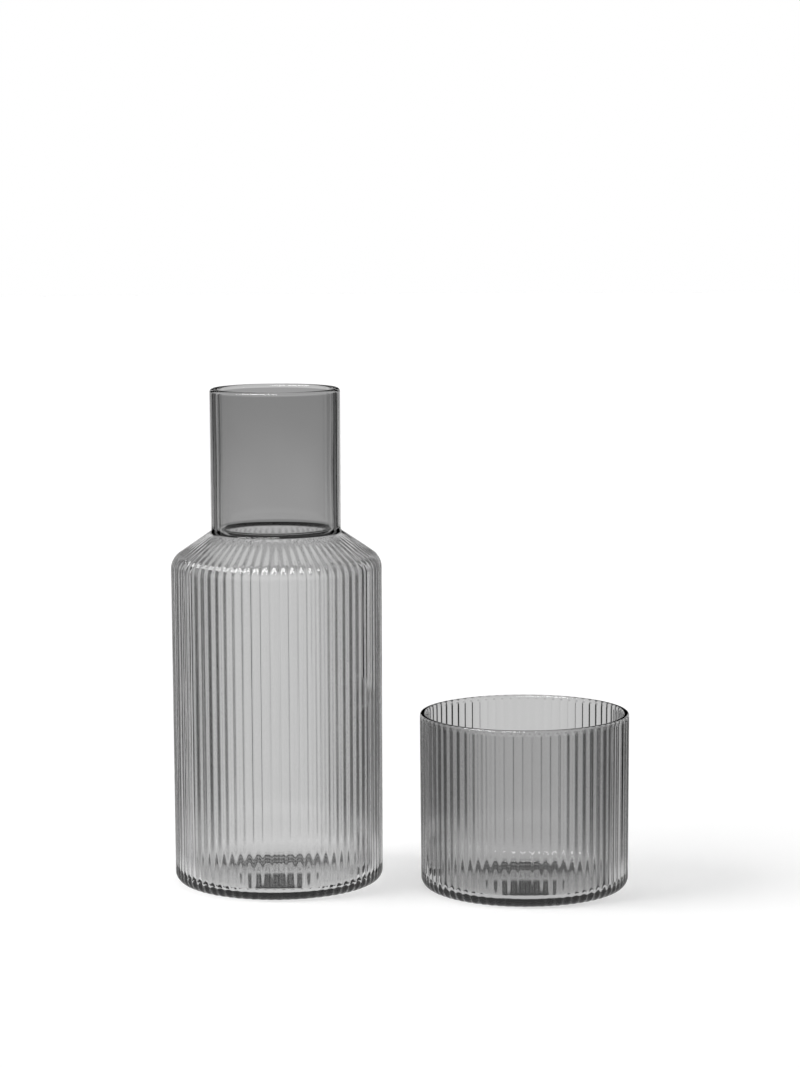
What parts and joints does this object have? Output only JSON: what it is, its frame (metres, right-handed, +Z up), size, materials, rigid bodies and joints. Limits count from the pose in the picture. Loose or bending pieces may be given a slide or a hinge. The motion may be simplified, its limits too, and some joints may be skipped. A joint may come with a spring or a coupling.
{
  "type": "bedside carafe with tumbler",
  "caption": "Smoked glass carafe with a ribbed body, sloping ribbed shoulder and smooth straight neck, and a ribbed glass tumbler that stands beside it and lifts off the table.",
  "frame": {"origin": "on the table, under the middle of the box round the standing pair", "axes": "+Z up; +X from the carafe's side to the tumbler's side; -Y towards the viewer, in front of the pair"},
  "size_m": [0.2064, 0.1108, 0.225],
  "materials": {
    "carafe_glass": "clear smoked grey, polished",
    "tumbler_glass": "clear smoked grey, polished"
  },
  "bodies": {
    "carafe": {"carafe": "carafe_glass"},
    "tumbler": {"tumbler": "tumbler_glass"}
  },
  "joints": [
    {"name": "tumbler_lift", "type": "slide", "parent": "carafe", "child": "tumbler", "axis": [0, 0, 1], "range_m": [0, 0.25]}
  ]
}
